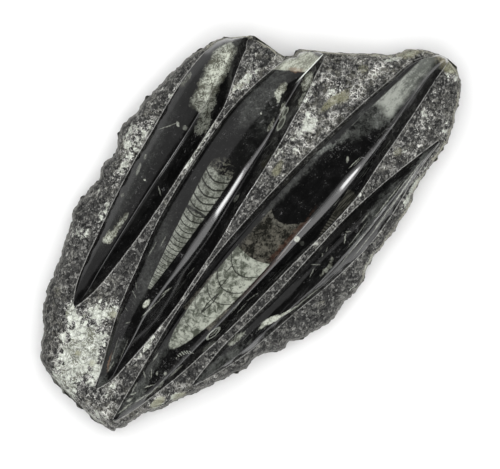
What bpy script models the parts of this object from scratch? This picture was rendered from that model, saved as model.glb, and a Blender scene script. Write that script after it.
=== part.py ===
"""Orthoceras fossil plate: one slab of black fossil limestone, lying on its sawn underside.

The slab is chiselled rough all over, and four long blades were left standing out of it and
polished. They run along +X, from the narrow end of the slab to its broad end, and each is made
of the same five lines: two feet, two shoulders and a crest. The whole top is one sheet whose
rows follow those lines, so every foot and every shoulder is an edge of the mesh.

Lengths are in millimetres. The origin is under the middle of the slab, on the surface it lies on.
"""

import bmesh
import bpy
import numpy as np

MM = 0.001

# Levels of the slab
BELLY = 6.0          # height of the widest outline
GROUND = 26.0        # height of the chiselled ground between the blades
LUMP = 0.9           # depth of the chisel lumps on the ground and the flanks
RIM_FADE = 3.0       # the lumps fade out over this distance from the rim
POLISH_FROM = 0.5    # a blade is free of lumps where it stands this far above the ground
UNDERSIDE = (0.985, 0.970)   # size of the sawn underside, as shares of the outline

# Mesh of the top: columns along X, closer together near both ends, and how many rows each strip
# between two lines takes. A flank's rows lie at shares of the way from its edge to the first foot.
COLUMNS = 96
CROWDING = (0.055, 0.020)    # how far columns are drawn to the ends, by one wave and by two
ROWS_LOW_FLANK = (0.0, 0.22, 0.55)
ROWS_HIGH_FLANK = (0.0, 0.22, 0.55, 1.0)
ROWS_GROUND = 2
ROWS_WALL = 1
ROWS_TOP = 2
LEAST_GAP = 0.3      # two lines never come closer than this, nor than a share of a short column
LEAST_SHARE = 1 / 48
RIM_GAPS = 4         # the first foot keeps this many such gaps from the rim

# Outline seen from above, from the narrow end to the broad end: (x, y)
EDGE_LOW = (
    (-139.0, -19.0), (-138.2, -25.0), (-134.0, -31.0), (-128.0, -34.6), (-119.0, -35.6),
    (-108.0, -42.2), (-99.0, -46.0), (-90.0, -50.4), (-80.0, -54.0), (-70.0, -58.2),
    (-63.0, -61.8), (-50.0, -63.0), (-46.0, -66.4), (-40.0, -69.6), (-34.0, -69.9),
    (-30.0, -73.0), (-20.0, -76.6), (-10.0, -79.0), (4.0, -78.2), (17.0, -78.4),
    (24.0, -74.6), (34.0, -72.6), (54.0, -70.9), (64.0, -69.2), (72.0, -66.4), (90.0, -62.8),
    (104.0, -61.2), (114.0, -57.6), (120.0, -54.0), (130.0, -48.6), (135.0, -44.0),
    (138.6, -39.0), (139.8, -36.6))
EDGE_HIGH = (
    (-139.0, 0.0), (-138.0, 8.0), (-136.6, 17.0), (-135.0, 23.6), (-130.0, 29.0),
    (-121.0, 35.6), (-114.0, 42.2), (-104.0, 48.4), (-91.0, 53.2), (-76.0, 59.8),
    (-66.0, 64.0), (-60.0, 67.4), (-48.0, 69.0), (-38.0, 68.9), (-33.0, 71.2), (-21.0, 72.4),
    (-14.0, 76.4), (-8.0, 78.8), (2.0, 78.4), (13.0, 79.0), (36.0, 77.6), (52.0, 75.4),
    (61.0, 72.6), (68.6, 66.8), (74.6, 60.4), (78.4, 53.0), (79.4, 43.0), (82.0, 37.0),
    (89.0, 34.2), (93.0, 29.0), (98.0, 22.6), (106.0, 12.4), (114.0, 3.8), (121.0, -5.4),
    (128.0, -9.8), (133.0, -14.8), (137.4, -22.0), (139.8, -28.4))

# Width of the sloping flank along each side: (x, width)
FLANK_LOW = ((-139.0, 7.0), (-110.0, 6.0), (-60.0, 6.0), (-30.0, 12.0), (15.0, 13.0),
             (30.0, 8.0), (80.0, 5.0), (140.0, 5.0))
FLANK_HIGH = ((-139.0, 9.0), (-110.0, 11.0), (-40.0, 12.0), (0.0, 9.0), (50.0, 6.0),
              (80.0, 5.0), (140.0, 5.0))

# Each blade's stations: (x, lower foot, lower shoulder, crest, upper shoulder, upper foot, height)
# and its shape: shares of the height at the lower and the upper shoulder, and how far each of the
# three corners is rounded off to either side, as a share of the shorter strip beside it.
BLADE_D = {
    "stations": (
        (-88.0, -46.3, -46.0, -45.8, -45.6, -45.4, 0.0),
        (-75.0, -50.8, -49.6, -47.4, -45.8, -44.6, 3.4),
        (-60.0, -55.0, -53.0, -49.2, -45.6, -44.0, 5.6),
        (-40.0, -58.4, -55.6, -51.0, -47.0, -45.5, 7.4),
        (-18.0, -61.2, -58.0, -52.6, -48.2, -46.6, 8.6),
        (0.0, -63.9, -60.2, -54.0, -49.0, -46.5, 9.0),
        (18.0, -65.8, -61.6, -55.2, -50.0, -46.6, 9.0),
        (36.0, -66.4, -62.0, -56.4, -51.4, -46.8, 8.6),
        (55.0, -64.6, -60.6, -56.6, -52.8, -48.4, 7.6),
        (73.0, -60.9, -58.4, -56.4, -54.2, -50.8, 5.6),
        (90.0, -58.4, -57.4, -56.6, -55.4, -53.8, 2.8),
        (104.0, -57.2, -57.0, -56.8, -56.6, -56.4, 0.0)),
    "shoulders": (0.78, 0.66),
    "rounding": (0.45, 0.9, 0.3)}
BLADE_C = {
    "stations": (
        (-132.0, -27.2, -26.9, -26.6, -26.4, -26.1, 0.0),
        (-120.0, -30.7, -28.6, -26.2, -24.2, -23.3, 3.0),
        (-105.0, -33.8, -31.4, -26.0, -21.8, -20.3, 5.6),
        (-88.0, -36.6, -32.8, -25.4, -18.6, -16.8, 8.0),
        (-70.0, -38.5, -33.6, -24.4, -16.0, -13.2, 9.6),
        (-50.0, -40.3, -34.4, -23.8, -13.6, -10.4, 10.6),
        (-25.0, -41.4, -35.2, -23.0, -11.4, -7.6, 11.0),
        (0.0, -42.3, -35.8, -22.8, -10.4, -7.0, 11.0),
        (30.0, -43.8, -35.8, -22.8, -10.2, -7.4, 11.0),
        (50.0, -43.6, -35.4, -23.0, -10.8, -8.2, 10.8),
        (70.0, -40.8, -33.6, -23.0, -11.8, -9.9, 10.4),
        (90.0, -38.2, -31.8, -23.2, -13.2, -11.8, 9.6),
        (110.0, -35.3, -29.8, -23.8, -15.6, -14.4, 8.6),
        (128.0, -32.4, -28.6, -25.0, -19.0, -17.9, 7.6),
        (140.0, -31.0, -30.0, -29.0, -27.5, -26.5, 6.6)),
    "shoulders": (0.84, 0.62),
    "rounding": (0.45, 0.9, 0.35)}
BLADE_B = {
    "stations": (
        (-125.0, -8.0, -7.7, -7.4, -7.1, -6.8, 0.0),
        (-115.0, -11.0, -9.9, -6.6, -4.0, -2.8, 2.6),
        (-105.0, -11.2, -7.8, -3.0, 0.8, 2.2, 4.8),
        (-90.0, -11.2, -4.2, 2.0, 8.0, 9.6, 7.4),
        (-75.0, -11.0, -1.4, 5.6, 13.6, 15.4, 9.2),
        (-60.0, -9.9, 0.6, 8.2, 18.4, 20.2, 10.2),
        (-40.0, -6.9, 2.4, 11.4, 24.8, 26.8, 11.0),
        (-20.0, -4.0, 4.4, 14.8, 30.0, 31.8, 11.4),
        (0.0, 0.0, 7.6, 18.4, 34.0, 35.4, 11.6),
        (20.0, 3.3, 11.6, 21.8, 37.0, 38.3, 11.6),
        (40.0, 6.9, 14.8, 24.6, 38.8, 40.0, 11.4),
        (60.0, 11.5, 19.6, 27.0, 37.8, 39.0, 10.8),
        (75.0, 15.2, 22.0, 27.6, 35.4, 36.6, 10.0),
        (90.0, 20.0, 22.8, 25.6, 30.4, 31.6, 8.8),
        (98.0, 20.6, 21.4, 22.4, 24.0, 24.8, 7.0),
        (103.0, 15.0, 15.4, 15.8, 16.2, 16.6, 0.0)),
    "shoulders": (0.86, 0.30),
    "rounding": (0.5, 0.9, 0.3)}
BLADE_A = {
    "stations": (
        (-99.0, 30.8, 31.2, 31.8, 32.3, 32.7, 0.0),
        (-90.0, 29.2, 31.4, 33.8, 36.2, 38.2, 3.4),
        (-75.0, 28.9, 34.4, 38.0, 41.2, 44.0, 6.6),
        (-60.0, 29.9, 37.2, 41.0, 44.8, 48.6, 8.8),
        (-40.0, 31.8, 40.8, 45.2, 49.6, 54.6, 10.4),
        (-20.0, 34.7, 44.0, 49.2, 54.4, 59.8, 11.4),
        (0.0, 37.9, 46.8, 52.4, 58.2, 63.9, 11.8),
        (20.0, 40.9, 50.2, 55.6, 61.6, 68.2, 11.8),
        (40.0, 44.7, 54.6, 59.4, 64.8, 71.2, 11.6),
        (55.0, 51.0, 58.8, 62.2, 66.0, 71.2, 10.8),
        (68.0, 55.6, 60.6, 62.6, 64.8, 67.6, 9.6),
        (76.0, 56.4, 57.6, 58.4, 59.2, 60.0, 7.0),
        (82.0, 36.0, 36.4, 36.8, 37.2, 37.6, 0.0)),
    "shoulders": (1.0, 0.66),
    "crest": 0.89,
    "rounding": (0.12, 0.9, 0.9)}
BLADES = (BLADE_D, BLADE_C, BLADE_B, BLADE_A)

# Chisel lumps: (wavelength, direction in degrees, phase), added up with equal weight
LUMPS = ((23.0, 12.0, 0.4), (17.0, 74.0, 2.1), (13.5, 131.0, 4.4), (11.0, 38.0, 1.2),
         (9.5, 102.0, 5.3))


def through(points, x):
    """Smooth curve through (x, y) points, read at x: between two points a cubic whose slopes at
    its ends are the mean slopes of the neighbouring points."""
    px, py = np.array(points, dtype=float).T
    slope = np.gradient(py, px)
    i = np.clip(np.searchsorted(px, x) - 1, 0, len(px) - 2)
    width = px[i + 1] - px[i]
    t = np.clip((x - px[i]) / width, 0.0, 1.0)
    rise = (1 - t) ** 2 * ((1 + 2 * t) * py[i] + t * width * slope[i])
    fall = t ** 2 * ((3 - 2 * t) * py[i + 1] - (1 - t) * width * slope[i + 1])
    return rise + fall


def blade_lines(blade, x):
    """The blade's five lines and its height at each x."""
    stations = np.array(blade["stations"])
    return [through(stations[:, (0, k)], x) for k in range(1, 7)]


def blade_profile(blade, lines, height, y):
    """Height of the blade above the ground: straight from foot to foot over the two shoulders and
    the crest, with each corner rounded by a parabola that meets both sides at their own slope."""
    low, high = blade["shoulders"]
    levels = (0.0, low, blade.get("crest", 1.0), high, 0.0)
    z = np.zeros_like(y)
    slopes = []
    for k in range(4):
        run = lines[k + 1] - lines[k]
        slope = (levels[k + 1] - levels[k]) * height / run
        slopes.append(slope)
        inside = (y >= lines[k]) & (y <= lines[k + 1])
        z = np.where(inside, levels[k] * height + slope * (y - lines[k]), z)
    for k in range(1, 4):
        shorter = np.minimum(lines[k] - lines[k - 1], lines[k + 1] - lines[k])
        reach = blade["rounding"][k - 1] * shorter
        bend = (slopes[k - 1] - slopes[k]) / (4 * reach)
        z = z - bend * np.maximum(0.0, reach - np.abs(y - lines[k])) ** 2
    return z


def rows_between(low, high, count):
    """The given number of rows, evenly spaced, from low up to but without high."""
    return [low + (high - low) * k / count for k in range(count)]


def top_rows(x):
    """Y of every row of the top at each x, from the low edge to the high edge, and the lines of
    the four blades after they were kept apart and inside the outline."""
    low, high = through(EDGE_LOW, x), through(EDGE_HIGH, x)
    gap = np.minimum(LEAST_GAP, (high - low) * LEAST_SHARE)
    blades = [blade_lines(blade, x) for blade in BLADES]
    lines = np.array([line for blade in blades for line in blade[:5]])
    count = len(lines)
    rim = gap * RIM_GAPS
    for k in range(count):
        below = lines[k - 1] + gap if k else low + rim
        lines[k] = np.maximum(lines[k], below)
    for k in reversed(range(count)):
        above = lines[k + 1] - gap if k + 1 < count else high - rim
        lines[k] = np.minimum(lines[k], above)
    rows = [low + share * (lines[0] - low) for share in ROWS_LOW_FLANK]
    for n in range(len(BLADES)):
        foot, shoulder, crest, upper, last = lines[5 * n:5 * n + 5]
        rows += rows_between(foot, shoulder, ROWS_WALL)
        rows += rows_between(shoulder, crest, ROWS_TOP)
        rows += rows_between(crest, upper, ROWS_TOP)
        rows += rows_between(upper, last, ROWS_WALL)
        if n + 1 < len(BLADES):
            rows += rows_between(last, lines[5 * n + 5], ROWS_GROUND)
    rows += [high - share * (high - lines[-1]) for share in reversed(ROWS_HIGH_FLANK)]
    return np.array(rows), lines, [blade[5] for blade in blades]


def rim_distance(x, y, ring):
    """Distance from each point to the nearest stretch of the outline."""
    best = np.full(x.shape, 1e9)
    for (ax, ay), (bx, by) in zip(ring, np.roll(ring, -1, axis=0)):
        dx, dy = bx - ax, by - ay
        t = np.clip(((x - ax) * dx + (y - ay) * dy) / (dx * dx + dy * dy), 0.0, 1.0)
        best = np.minimum(best, np.hypot(x - ax - t * dx, y - ay - t * dy))
    return best


def lumps(x, y):
    """Sum of plane waves of the LUMPS, over its usual size, so between about -1 and 1."""
    total = np.zeros_like(x)
    for length, degrees, phase in LUMPS:
        angle = np.radians(degrees)
        along = x * np.cos(angle) + y * np.sin(angle)
        total += np.sin(2 * np.pi * along / length + phase)
    return total / (len(LUMPS) / 2)


def top_surface():
    """X, Y and Z of the top's grid. The flank rises from the belly like a quarter ellipse over the
    flank's width, the blades stand on it, and the ground between them is lumpy."""
    t = np.linspace(0.0, 1.0, COLUMNS + 1)
    left, right = EDGE_LOW[0][0], EDGE_LOW[-1][0]
    drawn = sum(share * np.sin(2 * np.pi * (k + 1) * t) for k, share in enumerate(CROWDING))
    x = left + (right - left) * (t - drawn)
    rows, lines, heights = top_rows(x)
    grid_x = np.broadcast_to(x, rows.shape)
    ring = np.concatenate([np.column_stack([x, rows[0]]),
                           np.column_stack([x, rows[-1]])[::-1]])
    inward = rim_distance(grid_x, rows, ring)
    share = (rows - rows[0]) / (rows[-1] - rows[0])
    flank = through(FLANK_LOW, x) * (1 - share) + through(FLANK_HIGH, x) * share
    slope = np.clip(inward / flank, 0.0, 1.0)
    rise = np.sqrt(1 - (1 - slope) ** 2)
    blade_z = np.zeros_like(rows)
    for n, blade in enumerate(BLADES):
        blade_z += blade_profile(blade, lines[5 * n:5 * n + 5], heights[n], rows)
    polished = np.clip(blade_z / POLISH_FROM, 0.0, 1.0)
    rough = LUMP * lumps(grid_x, rows) * (1 - polished) * np.clip(inward / RIM_FADE, 0.0, 1.0)
    z = BELLY + (GROUND - BELLY + blade_z) * rise + rough
    return grid_x, rows, z


def limestone():
    """Black limestone, between the polish of the blades and the chiselled ground."""
    material = bpy.data.materials.new("black_limestone")
    material.use_nodes = True
    shader = material.node_tree.nodes["Principled BSDF"]
    shader.inputs["Base Color"].default_value = (0.050, 0.050, 0.050, 1.0)
    shader.inputs["Roughness"].default_value = 0.45
    shader.inputs["Metallic"].default_value = 0.0
    return material


def fossil_plate():
    """A flat grid is laid over the top surface, its border is drawn in and down to the floor, and
    the flat underside closes it."""
    x, y, z = top_surface()
    rows, columns = x.shape
    bm = bmesh.new()
    bmesh.ops.create_grid(bm, x_segments=columns - 1, y_segments=rows - 1, size=0.5)
    for vert in bm.verts:
        i = round((vert.co.y + 0.5) * (rows - 1))
        j = round((vert.co.x + 0.5) * (columns - 1))
        vert.co = (x[i, j] * MM, y[i, j] * MM, z[i, j] * MM)
    border = [edge for edge in bm.edges if edge.is_boundary]
    drawn = bmesh.ops.extrude_edge_only(bm, edges=border)["geom"]
    for vert in (item for item in drawn if isinstance(item, bmesh.types.BMVert)):
        vert.co = (vert.co.x * UNDERSIDE[0], vert.co.y * UNDERSIDE[1], 0.0)
    foot = [edge for edge in bm.edges if edge.is_boundary]
    bmesh.ops.contextual_create(bm, geom=foot)
    bmesh.ops.recalc_face_normals(bm, faces=bm.faces)
    mesh = bpy.data.meshes.new("fossil_plate")
    bm.to_mesh(mesh)
    bm.free()
    mesh.materials.append(limestone())
    plate = bpy.data.objects.new("fossil_plate", mesh)
    bpy.context.scene.collection.objects.link(plate)
    return plate


for old in list(bpy.data.objects):
    bpy.data.objects.remove(old, do_unlink=True)
fossil_plate()
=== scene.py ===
"""Orthoceras fossil plate: one slab of black fossil limestone, chiselled rough, with four blades
left standing out of it and polished, lying flat on its sawn underside under a soft studio light."""

import bpy
import numpy as np
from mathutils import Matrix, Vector


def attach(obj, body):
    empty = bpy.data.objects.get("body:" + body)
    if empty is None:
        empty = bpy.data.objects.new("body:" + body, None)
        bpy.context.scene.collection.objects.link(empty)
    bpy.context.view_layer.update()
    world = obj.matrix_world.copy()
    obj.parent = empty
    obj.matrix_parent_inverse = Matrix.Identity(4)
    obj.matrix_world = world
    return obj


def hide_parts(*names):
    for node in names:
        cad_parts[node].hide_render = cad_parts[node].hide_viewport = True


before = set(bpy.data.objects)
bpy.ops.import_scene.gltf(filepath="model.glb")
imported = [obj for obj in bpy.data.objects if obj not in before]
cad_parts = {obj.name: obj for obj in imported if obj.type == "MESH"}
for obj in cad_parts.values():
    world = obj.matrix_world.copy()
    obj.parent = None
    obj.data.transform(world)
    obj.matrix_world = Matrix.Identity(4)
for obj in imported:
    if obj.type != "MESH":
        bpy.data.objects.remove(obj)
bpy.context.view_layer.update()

# ------------------------------------------------------------------------------
# The slab. A carver sawed it flat underneath, roughed the ground between the blades and the flanks
# with a chisel, and ground and polished the four blades along the long shells inside the stone.
# Lengths are in millimetres and turned into metres when the mesh is made.

MM = 0.001
BELLY = 6  # height of the widest outline
GROUND = 26  # height of the chiselled ground between the blades
UNDERSIDE = (0.985, 0.97)  # size of the sawn underside, as shares of the outline

EDGE_LOW = (
    (-139, -19), (-138.2, -25), (-134, -31), (-128, -34.6), (-119, -35.6), (-108, -42.2),
    (-99, -46), (-90, -50.4), (-80, -54), (-70, -58.2), (-63, -61.8), (-50, -63), (-46, -66.4),
    (-40, -69.6), (-34, -69.9), (-30, -73), (-20, -76.6), (-10, -79), (4, -78.2), (17, -78.4),
    (24, -74.6), (34, -72.6), (54, -70.9), (64, -69.2), (72, -66.4), (90, -62.8), (104, -61.2),
    (114, -57.6), (120, -54), (130, -48.6), (135, -44), (138.6, -39), (139.8, -36.6))
EDGE_HIGH = (
    (-139, 0), (-138, 8), (-136.6, 17), (-135, 23.6), (-130, 29), (-121, 35.6), (-114, 42.2),
    (-104, 48.4), (-91, 53.2), (-76, 59.8), (-66, 64), (-60, 67.4), (-48, 69), (-38, 68.9),
    (-33, 71.2), (-21, 72.4), (-14, 76.4), (-8, 78.8), (2, 78.4), (13, 79), (36, 77.6), (52, 75.4),
    (61, 72.6), (68.6, 66.8), (74.6, 60.4), (78.4, 53), (79.4, 43), (82, 37), (89, 34.2), (93, 29),
    (98, 22.6), (106, 12.4), (114, 3.8), (121, -5.4), (128, -9.8), (133, -14.8), (137.4, -22),
    (139.8, -28.4))
FLANK_LOW = ((-139, 7), (-110, 6), (-60, 6), (-30, 12), (15, 13), (30, 8), (80, 5), (140, 5))
FLANK_HIGH = (
    (-139, 9), (-110, 11), (-40, 12), (0, 9), (50, 6), (68, 3), (78, 2.6), (84, 4), (89, 2.4),
    (98, 2.2), (103, 5), (128, 5), (134, 2.6), (140, 2.4))

# A blade's stations: (x, lower foot, lower shoulder, crest, upper shoulder, upper foot, height);
# the shares of the height at the lower shoulder, the crest and the upper shoulder; and how far
# each of those three corners is rounded off, as a share of the shorter strip beside it, where the
# lower shoulder's share changes along X.
BLADE_D = (
    ((-88, -46.3, -46, -45.8, -45.6, -45.4, 0),
     (-75, -50.8, -49.6, -47.4, -45.8, -44.6, 3.4),
     (-60, -55, -53, -49.2, -45.6, -44, 5.6),
     (-40, -58.4, -55.6, -51, -47, -45.5, 7.4),
     (-18, -61.2, -58, -52.6, -48.2, -46.6, 8.6),
     (0, -63.9, -60.2, -52.2, -49, -46.5, 9),
     (18, -65.6, -61.2, -53.2, -50, -46.6, 9),
     (36, -66.2, -61.2, -54.6, -51.4, -46.8, 8.6),
     (55, -64.4, -60, -55.4, -52.8, -48.4, 7.6),
     (73, -60.9, -58.4, -56.4, -54.2, -50.8, 5.6),
     (90, -58.4, -57.4, -56.6, -55.4, -53.8, 2.8),
     (104, -57.2, -57, -56.8, -56.6, -56.4, 0)),
    (0.95, 1, 0.66),
    (((-88, 0.05), (-40, 0.06), (-6, 0.1), (14, 0.3), (50, 0.3), (104, 0.05)),
     0.4, 0.3))
BLADE_C = (
    ((-132, -27.2, -26.9, -26.6, -26.4, -26.1, 0),
     (-120, -30.7, -28.6, -26.2, -24.2, -23.3, 3),
     (-105, -33.8, -31.4, -26, -21.8, -20.3, 5.6),
     (-88, -36.6, -32.8, -25.4, -18.6, -16.8, 8),
     (-70, -38.5, -33.6, -24.4, -16, -13.2, 9.6),
     (-50, -40.3, -34.4, -23.8, -13.6, -10.4, 10.6),
     (-25, -41.4, -34.9, -23, -11.4, -7.6, 11),
     (0, -42.3, -35.8, -22.8, -10.4, -7, 11),
     (30, -43.8, -36.2, -22.8, -10.2, -7.4, 11),
     (50, -43.6, -36, -23, -10.8, -8.2, 10.8),
     (70, -40.8, -34.4, -23, -11.8, -9.9, 10.4),
     (90, -38.2, -32.4, -23.2, -13.2, -11.8, 9.6),
     (110, -35.3, -29.8, -23.8, -15.6, -14.4, 8.6),
     (128, -32.4, -28.6, -25, -19, -17.9, 7.6),
     (140, -31, -30, -29, -27.5, -26.5, 6.6)),
    (0.84, 1, 0.62),
    (((-132, 0.04), (-50, 0.04), (-24, 0.06), (-4, 0.24), (14, 0.48), (34, 0.52),
      (52, 0.62), (66, 0.36), (82, 0.12), (140, 0.05)),
     0.9, 0.35))
BLADE_B = (
    ((-125, -8, -7.7, -7.4, -7.1, -6.8, 0),
     (-115, -11, -9.9, -6.6, -4, -2.8, 2.6),
     (-105, -11.2, -7.8, -3, 0.8, 2.2, 4.8),
     (-90, -11.2, -4.2, 2.8, 8, 9.6, 7.4),
     (-75, -11, -0.2, 7.2, 13.6, 15.4, 9.2),
     (-60, -9.9, 1.6, 9.6, 18.4, 20.2, 10.2),
     (-40, -6.9, 2.7, 11.4, 24.8, 26.8, 11),
     (-20, -4, 4.6, 14.8, 30, 31.8, 11.4),
     (0, 0, 6.9, 18.4, 34, 35.4, 11.6),
     (20, 3.3, 10.6, 21.8, 37, 38.3, 11.6),
     (40, 6.9, 13.9, 24.6, 38.8, 40, 11.4),
     (60, 11.5, 19, 27, 37.8, 39, 10.8),
     (70, 13.9, 20.9, 25.4, 36.4, 37.6, 10.3),
     (78, 16.1, 22, 23.1, 34.8, 36, 9.9),
     (84, 18, 22.1, 22.8, 32.8, 34, 9.7),
     (92, 20, 22, 22.6, 28.4, 29.4, 9.4),
     (98, 21.5, 22, 22.3, 23.6, 24.2, 9),
     (103, 15, 15.4, 15.8, 16.2, 16.6, 0)),
    (0.9, 1, 0.3),
    (((-125, 0.04), (-70, 0.04), (-60, 0.05), (-50, 0.14), (-38, 0.36), (-20, 0.54),
      (12, 0.52), (30, 0.28), (46, 0.1), (103, 0.05)),
     0.9, 0.3))
BLADE_A = (
    ((-99, 30.8, 31.2, 31.8, 32.3, 32.7, 0),
     (-90, 29.2, 31.4, 33.8, 36.2, 38.2, 3.4),
     (-75, 28.9, 34.4, 38, 41.2, 44, 6.6),
     (-60, 29.9, 37.2, 41, 44.8, 48.6, 8.8),
     (-40, 31.8, 40.8, 45.2, 49.6, 54.6, 10.4),
     (-20, 34.7, 44, 49.2, 54.4, 59.8, 11.4),
     (0, 37.9, 46.8, 52.4, 58.2, 63.9, 11.8),
     (20, 40.9, 50.2, 55.6, 61.6, 68.2, 11.8),
     (40, 44.7, 54.6, 59.4, 64.8, 71.2, 11.6),
     (55, 51, 58.8, 62.2, 66, 71.2, 10.8),
     (68, 55.6, 60.6, 62.6, 64.8, 67.6, 9.6),
     (76, 56.4, 57.6, 58.4, 59.2, 60, 7),
     (82, 36, 36.4, 36.8, 37.2, 37.6, 0)),
    (1, 0.89, 0.66), (((-99, 0.1), (82, 0.12)), 0.9, 0.9))
BLADES = (BLADE_D, BLADE_C, BLADE_B, BLADE_A)

COLUMNS = 380  # along X, closer together near both ends
CROWDING = (0.055, 0.02)
ROWS_FLANK, ROWS_WALL, ROWS_TOP, ROWS_GROUND = 22, 7, 9, 22
LEAST_GAP = 0.12  # two lines never come closer than this
RIM_GAPS = 14  # and no line comes closer to the rim than this many gaps
CORNERS = 256  # the random heights repeat after this many squares
NARROW, SHALLOW = 1.2, 0.15  # a blade that is narrower or lower than this has run out
FAR = 20  # a foot or a rim farther away than this no longer matters
NARROW_END = -130  # the narrow end is broken unevenly up to this X


def through(points, x):
    """Smooth curve through (x, y) points, read at x: between two points a cubic whose slopes at
    its ends are the mean slopes of the neighbouring points."""
    px, py = np.array(points, dtype=float).T
    slope = np.gradient(py, px)
    i = np.clip(np.searchsorted(px, x) - 1, 0, len(px) - 2)
    width = px[i + 1] - px[i]
    t = np.clip((x - px[i]) / width, 0, 1)
    rise = (1 - t) ** 2 * ((1 + 2 * t) * py[i] + t * width * slope[i])
    fall = t ** 2 * ((3 - 2 * t) * py[i + 1] - (1 - t) * width * slope[i + 1])
    return rise + fall


def grain(x, y, size, seed):
    """Smooth random field from -1 to 1: random heights at the corners of squares of the given
    size, blended across each square by t * t * (3 - 2 * t) both ways."""
    corners = np.random.default_rng(seed).uniform(-1, 1, (CORNERS, CORNERS))
    u, v = x / size + 100, y / size + 100
    i, j = np.floor(u).astype(int), np.floor(v).astype(int)
    a, b = u - i, v - j
    a, b = a * a * (3 - 2 * a), b * b * (3 - 2 * b)
    i, j, i1, j1 = i % CORNERS, j % CORNERS, (i + 1) % CORNERS, (j + 1) % CORNERS
    near = corners[i, j] * (1 - a) + corners[i1, j] * a
    far = corners[i, j1] * (1 - a) + corners[i1, j1] * a
    return near * (1 - b) + far * b


def crag(x, y, size, turn, seed):
    """Broken surface from -1 to 1: random heights at the corners of squares turned by an angle in
    degrees, each square split into two flat triangles."""
    corners = np.random.default_rng(seed).uniform(-1, 1, (CORNERS, CORNERS))
    c, s = np.cos(np.radians(turn)), np.sin(np.radians(turn))
    u, v = (x * c + y * s) / size + 100, (y * c - x * s) / size + 100
    i, j = np.floor(u).astype(int), np.floor(v).astype(int)
    a, b = u - i, v - j
    i, j, i1, j1 = i % CORNERS, j % CORNERS, (i + 1) % CORNERS, (j + 1) % CORNERS
    upper = corners[i, j] * (1 - b) + corners[i, j1] * (b - a) + corners[i1, j1] * a
    lower = corners[i, j] * (1 - a) + corners[i1, j] * (a - b) + corners[i1, j1] * b
    return np.where(a < b, upper, lower)


def spaced(low, high, count, ends):
    """Rows from low up to but without high, as shares of the way. With ends at 1 they crowd
    towards both lines as the cosine does, with 0 they are even."""
    t = np.arange(count) / count
    share = t * (1 - ends) + (1 - np.cos(np.pi * t)) / 2 * ends
    return low + (high - low) * share[:, None]


def blade_profile(levels, rounding, lines, height, y):
    """Height of a blade above the ground: straight from foot to foot over the two shoulders and
    the crest, with each corner rounded by a parabola that meets both sides at their own slope."""
    levels = (0,) + levels + (0,)
    z = np.zeros_like(y)
    slopes = [(levels[k + 1] - levels[k]) * height / (lines[k + 1] - lines[k]) for k in range(4)]
    for k in range(4):
        inside = (y >= lines[k]) & (y <= lines[k + 1])
        z = np.where(inside, levels[k] * height + slopes[k] * (y - lines[k]), z)
    for k in range(1, 4):
        shorter = np.minimum(lines[k] - lines[k - 1], lines[k + 1] - lines[k])
        reach = rounding[k - 1] * shorter
        bend = (slopes[k - 1] - slopes[k]) / (4 * reach)
        z = z - bend * np.maximum(0, reach - np.abs(y - lines[k])) ** 2
    return z


def rim_distance(x, y, ring):
    """Distance from each point to the nearest stretch of the outline."""
    best = np.full(x.shape, np.inf)
    for (ax, ay), (bx, by) in zip(ring, np.roll(ring, -1, axis=0)):
        dx, dy = bx - ax, by - ay
        t = np.clip(((x - ax) * dx + (y - ay) * dy) / (dx * dx + dy * dy), 0, 1)
        best = np.minimum(best, np.hypot(x - ax - t * dx, y - ay - t * dy))
    return best


# Columns, the two edges, and the twenty lines of the blades, kept in order and apart
t = np.linspace(0, 1, COLUMNS)
drawn = sum(share * np.sin(2 * np.pi * (k + 1) * t) for k, share in enumerate(CROWDING))
column_x = EDGE_LOW[0][0] + (EDGE_LOW[-1][0] - EDGE_LOW[0][0]) * (t - drawn)


def chipped_edge(points, turn, seeds):
    """An edge of the slab at every column: the curve through its points, moved by waves of up to
    0.5 mm and by coarse and fine crags of up to 0.65 and 0.45 mm, which fade out at both ends."""
    edge = through(points, column_x)
    waves = 0.5 * grain(column_x, edge, 6, seeds[0])
    coarse = 0.65 * crag(column_x, edge, 2.6, turn, seeds[1])
    fine = 0.45 * crag(column_x, edge, 1.4, turn + 30, seeds[2])
    return edge + np.clip(60 * t * (1 - t), 0, 1) * (waves + coarse + fine)


low = chipped_edge(EDGE_LOW, 20, (1, 2, 12))
high = chipped_edge(EDGE_HIGH, 35, (3, 4, 13))
gap = np.minimum(LEAST_GAP, (high - low) / 200)
lines = np.array([through(np.array(stations)[:, (0, k)], column_x)
                  for stations, _, _ in BLADES for k in range(1, 6)])
heights = [through(np.array(stations)[:, (0, 6)], column_x) for stations, _, _ in BLADES]
for k in range(20):
    lines[k] = np.maximum(lines[k], lines[k - 1] + gap if k else low + RIM_GAPS * gap)
for k in reversed(range(20)):
    lines[k] = np.minimum(lines[k], lines[k + 1] - gap if k < 19 else high - RIM_GAPS * gap)

# The strips of rows between two lines: (from, to, rows, crowding, blade, or -1 for no blade)
strips = [(low, lines[0], ROWS_FLANK, 0, -1)]
for n in range(4):
    foot, shoulder, crest, upper, last = lines[5 * n:5 * n + 5]
    strips += [(foot, shoulder, ROWS_WALL, 0.85, n), (shoulder, crest, ROWS_TOP, 0.75, n),
               (crest, upper, ROWS_TOP, 0.75, n), (upper, last, ROWS_WALL, 0.85, n)]
    if n < 3:
        strips.append((last, lines[5 * n + 5], ROWS_GROUND, 0.3, -1))
strips.append((lines[19], high, ROWS_FLANK, 0, -1))
rows = np.vstack([spaced(a, b, count, crowd) for a, b, count, crowd, _ in strips] + [high[None]])
blade_of_row = np.concatenate([np.full(count, n) for _, _, count, _, n in strips])
y = rows
x = np.broadcast_to(column_x, rows.shape)
torn = 0.9 * grain(y, y, 4, 14) + 0.5 * crag(y, y, 2.1, 30, 15)
x = x + torn * np.clip((NARROW_END - x) / 8, 0, 1)

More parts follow.
